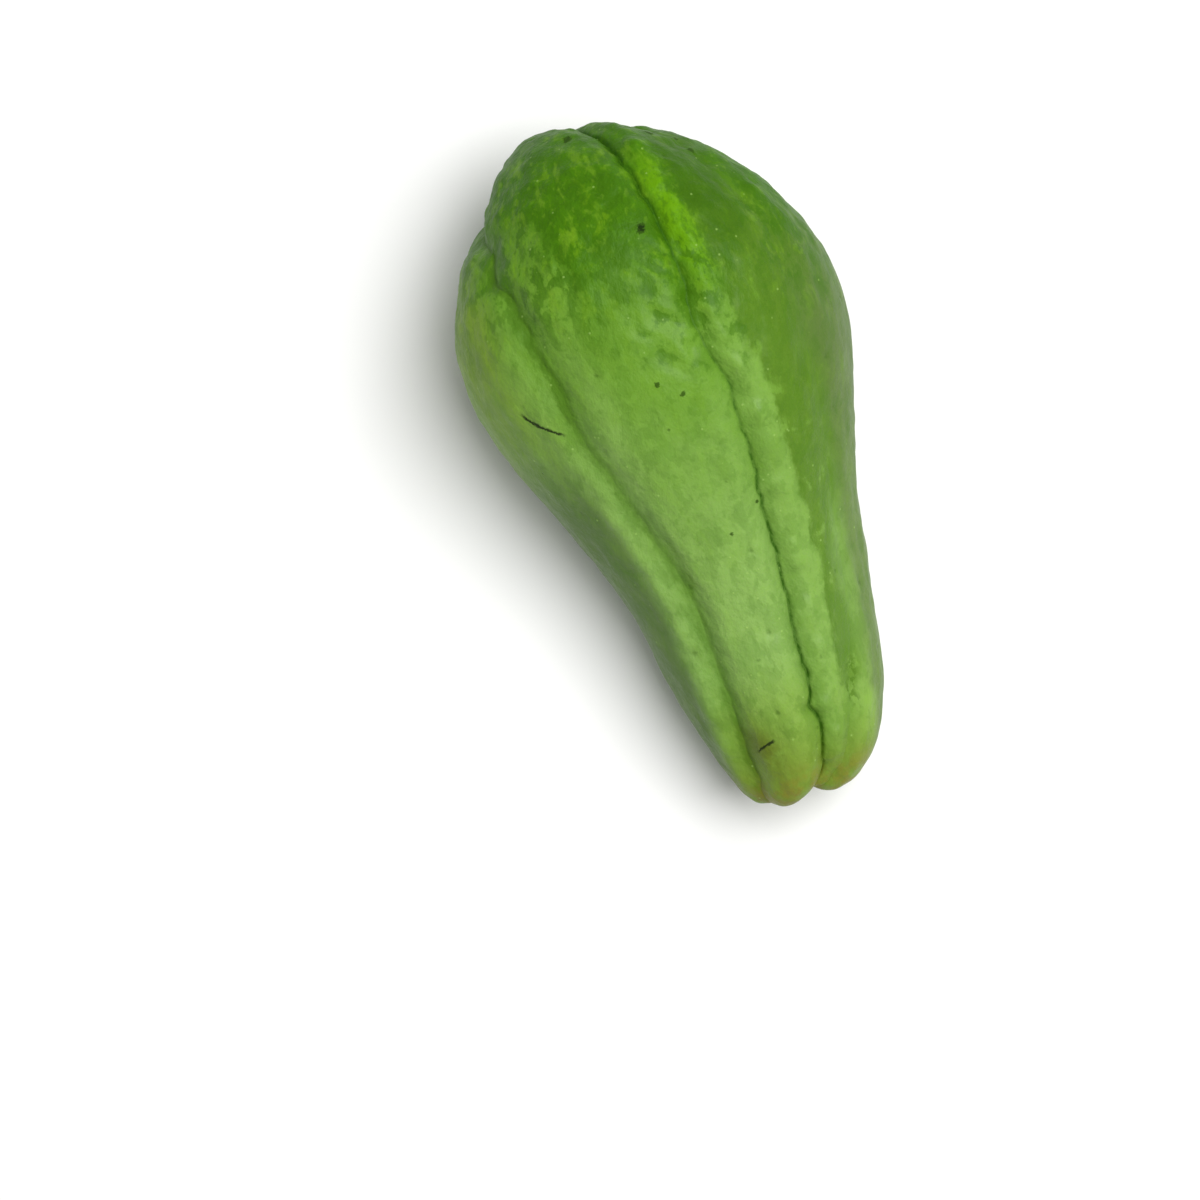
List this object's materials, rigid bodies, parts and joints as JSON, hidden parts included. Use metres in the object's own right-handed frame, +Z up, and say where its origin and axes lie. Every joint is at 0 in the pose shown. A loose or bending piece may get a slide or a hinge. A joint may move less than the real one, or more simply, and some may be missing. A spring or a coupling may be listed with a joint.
{
  "type": "chayote squash",
  "caption": "Pear-shaped chayote squash lying on its side, with lobes and furrows along it, a cleft at the wide end and a puckered pit at the narrow stem end.",
  "frame": {"origin": "on the surface the fruit lies on, under the middle of its bounding box", "axes": "+X along the fruit from the wide blossom end to the narrow stem end, +Y across it, +Z up from the surface it lies on"},
  "size_m": [0.1514, 0.0822, 0.0643],
  "materials": {
    "skin": "smooth waxy green rind, satin"
  },
  "bodies": {
    "root": {"chayote_fruit": "skin"}
  },
  "joints": []
}
